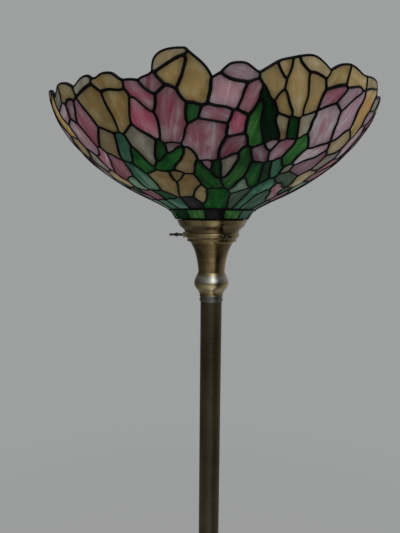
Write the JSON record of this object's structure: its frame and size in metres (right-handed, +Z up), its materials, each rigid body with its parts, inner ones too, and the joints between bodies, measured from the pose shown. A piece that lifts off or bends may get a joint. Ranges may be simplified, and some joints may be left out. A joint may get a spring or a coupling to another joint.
{
  "type": "torchiere floor lamp",
  "caption": "Free-standing uplighter floor lamp with an upturned leaded-glass tulip bowl on a brass fitter, turned neck, slim pole and weighted round base.",
  "frame": {"origin": "middle of the base's underside, on the floor", "axes": "+Z up the pole; -Y is the front, the side the middle of the tulip pattern faces; +X to the right of someone facing it"},
  "size_m": [0.4418, 0.4676, 1.7557],
  "materials": {
    "aluminium": "plain",
    "brass": "antiqued, dark",
    "bright_brass": "plain",
    "card": "fibre",
    "ceramic": "glazed",
    "clear_glass": "frosted",
    "felt": "felt",
    "flex": "brown",
    "glass_amber": "opalescent",
    "glass_band": "streaky",
    "glass_cream": "opalescent",
    "glass_dark": "dark",
    "glass_leaf": "streaky",
    "glass_pink": "streaky opalescent",
    "glass_rose": "streaky",
    "glass_teal": "streaky",
    "insulator": "gloss",
    "iron": "as cast",
    "lead": "black patina",
    "plastic": "brown",
    "pole_bronze": "antiqued, dark bronze",
    "steel": "zinc plated",
    "tungsten": "plain"
  },
  "bodies": {
    "stand": {"base_felt": "felt", "base_nut": "steel", "base_rod": "steel", "base_shell": "brass", "base_spacer": "steel", "base_washer": "steel", "base_weight": "iron", "cord_grommet": "plastic", "cord_inner": "flex", "cord_tail": "flex", "cup_washer": "steel", "fitter_bushes": "brass", "fitter_cup": "brass", "foot_cup": "brass", "neck_locknuts": "steel", "neck_nipple": "steel", "neck_vase": "brass", "plug_blades": "bright_brass", "plug_body": "plastic", "pole_bottom": "pole_bronze", "pole_bushes": "steel", "pole_collars": "brass", "pole_couplings": "steel", "pole_middle": "pole_bronze", "pole_ring": "brass", "pole_top": "pole_bronze", "socket_body": "ceramic", "socket_cap": "bright_brass", "socket_contact": "bright_brass", "socket_screw_shell": "bright_brass", "socket_shell": "bright_brass", "socket_sleeve": "card", "socket_terminals": "bright_brass", "switch_bottom": "plastic", "switch_spring": "steel", "switch_top": "plastic"},
    "shade": {"lead_came": "lead", "band_came": "lead", "rim_wire": "lead", "shade_collar": "brass", "band_glass": "glass_band", "glass_amber": "glass_amber", "glass_cream": "glass_cream", "glass_dark": "glass_dark", "glass_leaf": "glass_leaf", "glass_pink": "glass_pink", "glass_rose": "glass_rose", "glass_teal": "glass_teal"},
    "bulb": {"bulb_cap": "aluminium", "bulb_contact": "aluminium", "bulb_filament": "tungsten", "bulb_glass": "clear_glass", "bulb_insulator": "insulator", "bulb_stem": "clear_glass"},
    "screw_left": {"thumbscrew_left": "brass"},
    "screw_right": {"thumbscrew_right": "brass"},
    "screw_rear": {"thumbscrew_rear": "brass"},
    "button": {"switch_button": "plastic"}
  },
  "joints": [
    {"name": "shade_lift", "type": "slide", "parent": "stand", "child": "shade", "axis": [0, 0, 1], "range_m": [0, 0.12]},
    {"name": "bulb_unscrew", "type": "slide", "parent": "stand", "child": "bulb", "axis": [0, 0, 1], "range_m": [0, 0.028]},
    {"name": "screw_left_back_off", "type": "slide", "parent": "stand", "child": "screw_left", "axis": [-0.9877, 0.1564, 0], "range_m": [0, 0.006]},
    {"name": "screw_right_back_off", "type": "slide", "parent": "stand", "child": "screw_right", "axis": [0.3584, -0.9336, 0], "range_m": [0, 0.006]},
    {"name": "screw_rear_back_off", "type": "slide", "parent": "stand", "child": "screw_rear", "axis": [0.6293, 0.7771, 0], "range_m": [0, 0.006]},
    {"name": "foot_button_press", "type": "slide", "parent": "stand", "child": "button", "axis": [0, 0, -1], "range_m": [0, 0.0032], "deforming": ["switch_spring"]}
  ]
}
